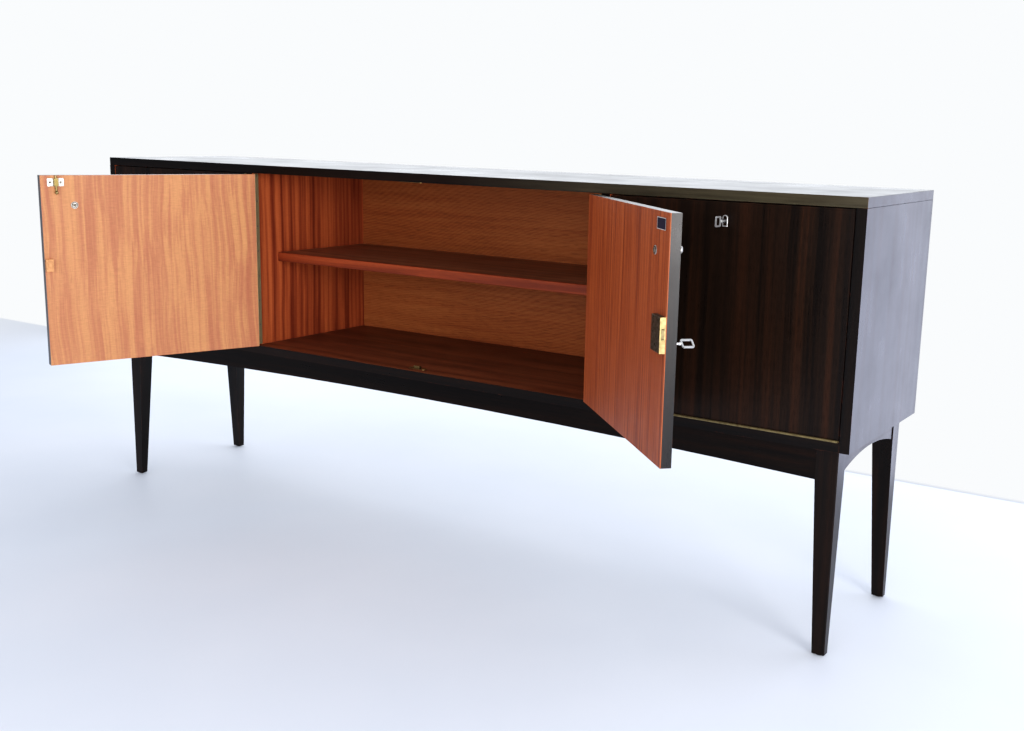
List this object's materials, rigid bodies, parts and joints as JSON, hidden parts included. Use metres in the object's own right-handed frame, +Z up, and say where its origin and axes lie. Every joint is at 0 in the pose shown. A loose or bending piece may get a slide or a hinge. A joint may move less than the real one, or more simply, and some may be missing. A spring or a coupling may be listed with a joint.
{
  "type": "sideboard",
  "caption": "Long low wooden sideboard on tapered legs: hinged centre doors over a shelf, a drop-down bar front on the right and a hinged door on the left.",
  "frame": {"origin": "on the floor, under the centre of the outline with the centre doors open as modelled; the case's front plane is at y = 0.0328 m", "axes": "+X to the right seen from the front, +Y towards the back, +Z up"},
  "size_m": [2.08, 0.8896, 0.88],
  "materials": {
    "dark_exterior": "dark stained mahogany, satin to gloss lacquer",
    "mahogany": "ribbon-striped mahogany veneer, satin lacquer",
    "pale_wood": "sawn softwood",
    "brass": "dull yellow brass",
    "nickel": "bright nickel plate",
    "steel": "dull bronzed steel",
    "label": "plain dark blue plate with no lettering"
  },
  "bodies": {
    "cabinet": {"top_board": "dark_exterior", "bottom_board": "mahogany", "left_side": "dark_exterior", "right_side": "dark_exterior", "left_divider": "mahogany", "right_divider": "mahogany", "back_panel": "mahogany", "front_apron": "dark_exterior", "rear_apron": "dark_exterior", "left_arch_rail": "dark_exterior", "right_arch_rail": "dark_exterior", "front_left_leg": "dark_exterior", "front_right_leg": "dark_exterior", "rear_left_leg": "dark_exterior", "rear_right_leg": "dark_exterior", "foot_glides": "steel", "corner_blocks": "pale_wood", "frame_screws": "steel", "centre_shelf": "mahogany", "centre_shelf_lipping": "mahogany", "side_shelf": "mahogany", "shelf_pins": "brass", "top_strike": "brass", "floor_catch": "brass", "hinge_frame_leaves": "brass", "hinge_frame_screws": "brass", "hinge_pins": "brass", "stay_keepers": "brass"},
    "left_door": {"left_door_panel": "dark_exterior", "left_door_inner_veneer": "mahogany", "left_door_hinge_leaf": "brass", "left_door_hinge_screws": "brass", "left_door_knob": "nickel", "surface_bolt_plate": "nickel", "lock_keep": "brass"},
    "left_bolt": {"surface_bolt_rod": "brass"},
    "right_door": {"right_door_panel": "dark_exterior", "right_door_inner_veneer": "mahogany", "right_door_hinge_leaf": "brass", "right_door_hinge_screws": "brass", "right_door_knob": "nickel", "rim_lock_case": "steel", "rim_lock_forend": "brass", "label_plate": "label"},
    "right_key": {"right_door_key": "nickel"},
    "right_lock_bolt": {"rim_lock_bolt": "brass"},
    "flap": {"flap_panel": "dark_exterior", "flap_inner_veneer": "mahogany", "flap_hinge_leaf": "brass", "flap_hinge_screws": "brass", "flap_lock_case": "steel", "flap_escutcheon": "nickel", "flap_stays": "brass"},
    "flap_key": {"flap_key": "nickel"},
    "flap_bolt": {"flap_lock_bolt": "brass"},
    "side_door": {"side_door_panel": "dark_exterior", "side_door_inner_veneer": "mahogany", "side_door_hinge_leaf": "brass", "side_door_hinge_screws": "brass", "side_door_knob": "nickel"}
  },
  "joints": [
    {"name": "left_door_hinge", "type": "hinge", "parent": "cabinet", "child": "left_door", "pos_m": [-0.4958, 0.03023, 0.646], "axis": [0, 0, 1], "range_deg": [-59.5, 110.5]},
    {"name": "right_door_hinge", "type": "hinge", "parent": "cabinet", "child": "right_door", "pos_m": [0.4958, 0.03023, 0.646], "axis": [0, 0, -1], "range_deg": [-33.5, 136.5]},
    {"name": "flap_hinge", "type": "hinge", "parent": "cabinet", "child": "flap", "pos_m": [0.7685, 0.03023, 0.4332], "axis": [1, 0, 0], "range_deg": [0, 3]},
    {"name": "side_door_hinge", "type": "hinge", "parent": "cabinet", "child": "side_door", "pos_m": [-0.5182, 0.03023, 0.646], "axis": [0, 0, 1], "range_deg": [0, 60]},
    {"name": "left_bolt_slide", "type": "slide", "parent": "left_door", "child": "left_bolt", "axis": [0, 0, 1], "range_m": [0, 0.009]},
    {"name": "right_key_turn", "type": "hinge", "parent": "right_door", "child": "right_key", "pos_m": [0.82141, -0.31061, 0.641], "axis": [0.6884, 0.7254, 0], "range_deg": [0, 90]},
    {"name": "right_lock_slide", "type": "slide", "parent": "right_door", "child": "right_lock_bolt", "axis": [0.7254, -0.6884, 0], "range_m": [0, 0.0081]},
    {"name": "flap_key_turn", "type": "hinge", "parent": "flap", "child": "flap_key", "pos_m": [0.7685, 0.05333, 0.8224], "axis": [0, -1, 0], "range_deg": [-90, 0]},
    {"name": "flap_lock_slide", "type": "slide", "parent": "flap", "child": "flap_bolt", "axis": [0, 0, 1], "range_m": [0, 0.0081]}
  ],
  "couplings": [
    {"joint": "right_lock_slide", "follows": "right_key_turn", "m_per_rad": 0.005093},
    {"joint": "flap_lock_slide", "follows": "flap_key_turn", "m_per_rad": -0.005093}
  ]
}
